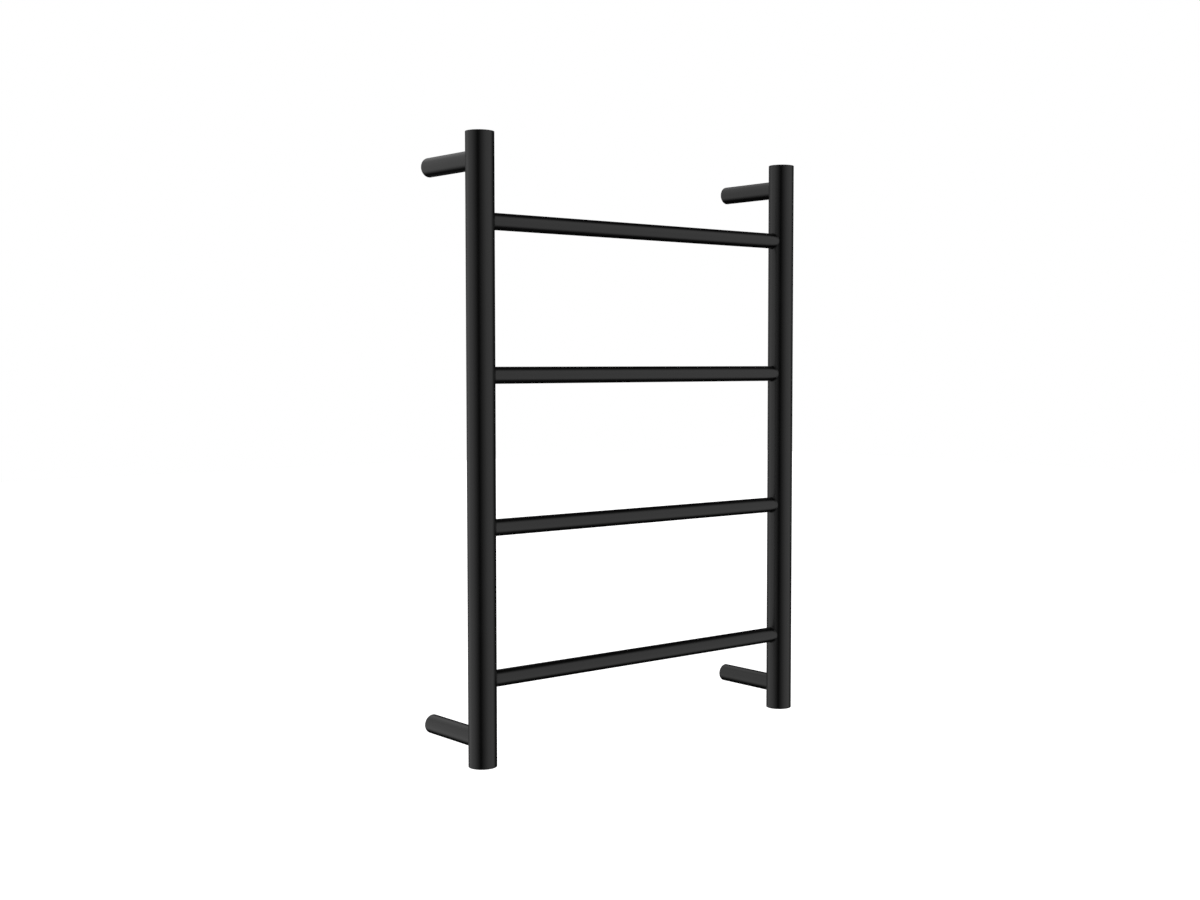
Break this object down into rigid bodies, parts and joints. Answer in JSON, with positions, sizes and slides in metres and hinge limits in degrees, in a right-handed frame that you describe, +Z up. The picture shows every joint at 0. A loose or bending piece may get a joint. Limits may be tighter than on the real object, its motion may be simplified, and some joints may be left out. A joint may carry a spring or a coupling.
{
  "type": "towel warmer rack",
  "caption": "Wall-mounted electric towel warmer: a ladder of round tube with level bars between two posts, on short standoffs over wall brackets.",
  "frame": {"origin": "centre of the four wall fixings, in the plane of the wall's face", "axes": "+Z up along the posts, +X to the right along the bars, +Y into the wall, so the front faces -Y"},
  "size_m": [0.5, 0.117, 0.7],
  "materials": {
    "black_powder_coat": "satin black powder coat, fine even texture",
    "bracket_aluminium": "turned, fine tool marks",
    "blackened_screw_steel": "black oxide",
    "bush_rubber": "matte",
    "cable_silicone": "matte silicone",
    "sleeve_plastic": "shrunk sleeve",
    "cutout_plastic": "moulded",
    "tag_brass": "plain",
    "earth_screw_steel": "zinc plated"
  },
  "bodies": {
    "wall_brackets": {"wall_bracket_top_left": "bracket_aluminium", "wall_bracket_top_right": "bracket_aluminium", "wall_bracket_bottom_left": "bracket_aluminium", "wall_bracket_bottom_right": "bracket_aluminium", "lead_bush": "bush_rubber"},
    "rack": {"left_post": "black_powder_coat", "right_post": "black_powder_coat", "towel_bar_1": "black_powder_coat", "towel_bar_2": "black_powder_coat", "towel_bar_3": "black_powder_coat", "towel_bar_4": "black_powder_coat", "standoff_top_left": "black_powder_coat", "standoff_top_right": "black_powder_coat", "standoff_bottom_left": "black_powder_coat", "standoff_bottom_right": "black_powder_coat", "end_cap_top_left": "black_powder_coat", "end_cap_top_right": "black_powder_coat", "end_cap_bottom_left": "black_powder_coat", "end_cap_bottom_right": "black_powder_coat", "heating_cable": "cable_silicone", "splice_sleeve_line": "sleeve_plastic", "splice_sleeve_neutral": "sleeve_plastic", "thermal_cutout": "cutout_plastic", "earth_tag": "tag_brass", "earth_screw": "earth_screw_steel"},
    "screw_top_left": {"set_screw_top_left": "blackened_screw_steel"},
    "screw_top_right": {"set_screw_top_right": "blackened_screw_steel"},
    "screw_bottom_left": {"set_screw_bottom_left": "blackened_screw_steel"},
    "screw_bottom_right": {"set_screw_bottom_right": "blackened_screw_steel"}
  },
  "joints": [
    {"name": "rack_slide", "type": "slide", "parent": "wall_brackets", "child": "rack", "axis": [0, -1, 0], "range_m": [0, 0.025]},
    {"name": "screw_top_left_travel", "type": "slide", "parent": "rack", "child": "screw_top_left", "axis": [0, 0, -1], "range_m": [0, 0.003]},
    {"name": "screw_top_right_travel", "type": "slide", "parent": "rack", "child": "screw_top_right", "axis": [0, 0, -1], "range_m": [0, 0.003]},
    {"name": "screw_bottom_left_travel", "type": "slide", "parent": "rack", "child": "screw_bottom_left", "axis": [0, 0, -1], "range_m": [0, 0.003]},
    {"name": "screw_bottom_right_travel", "type": "slide", "parent": "rack", "child": "screw_bottom_right", "axis": [0, 0, -1], "range_m": [0, 0.003]}
  ]
}
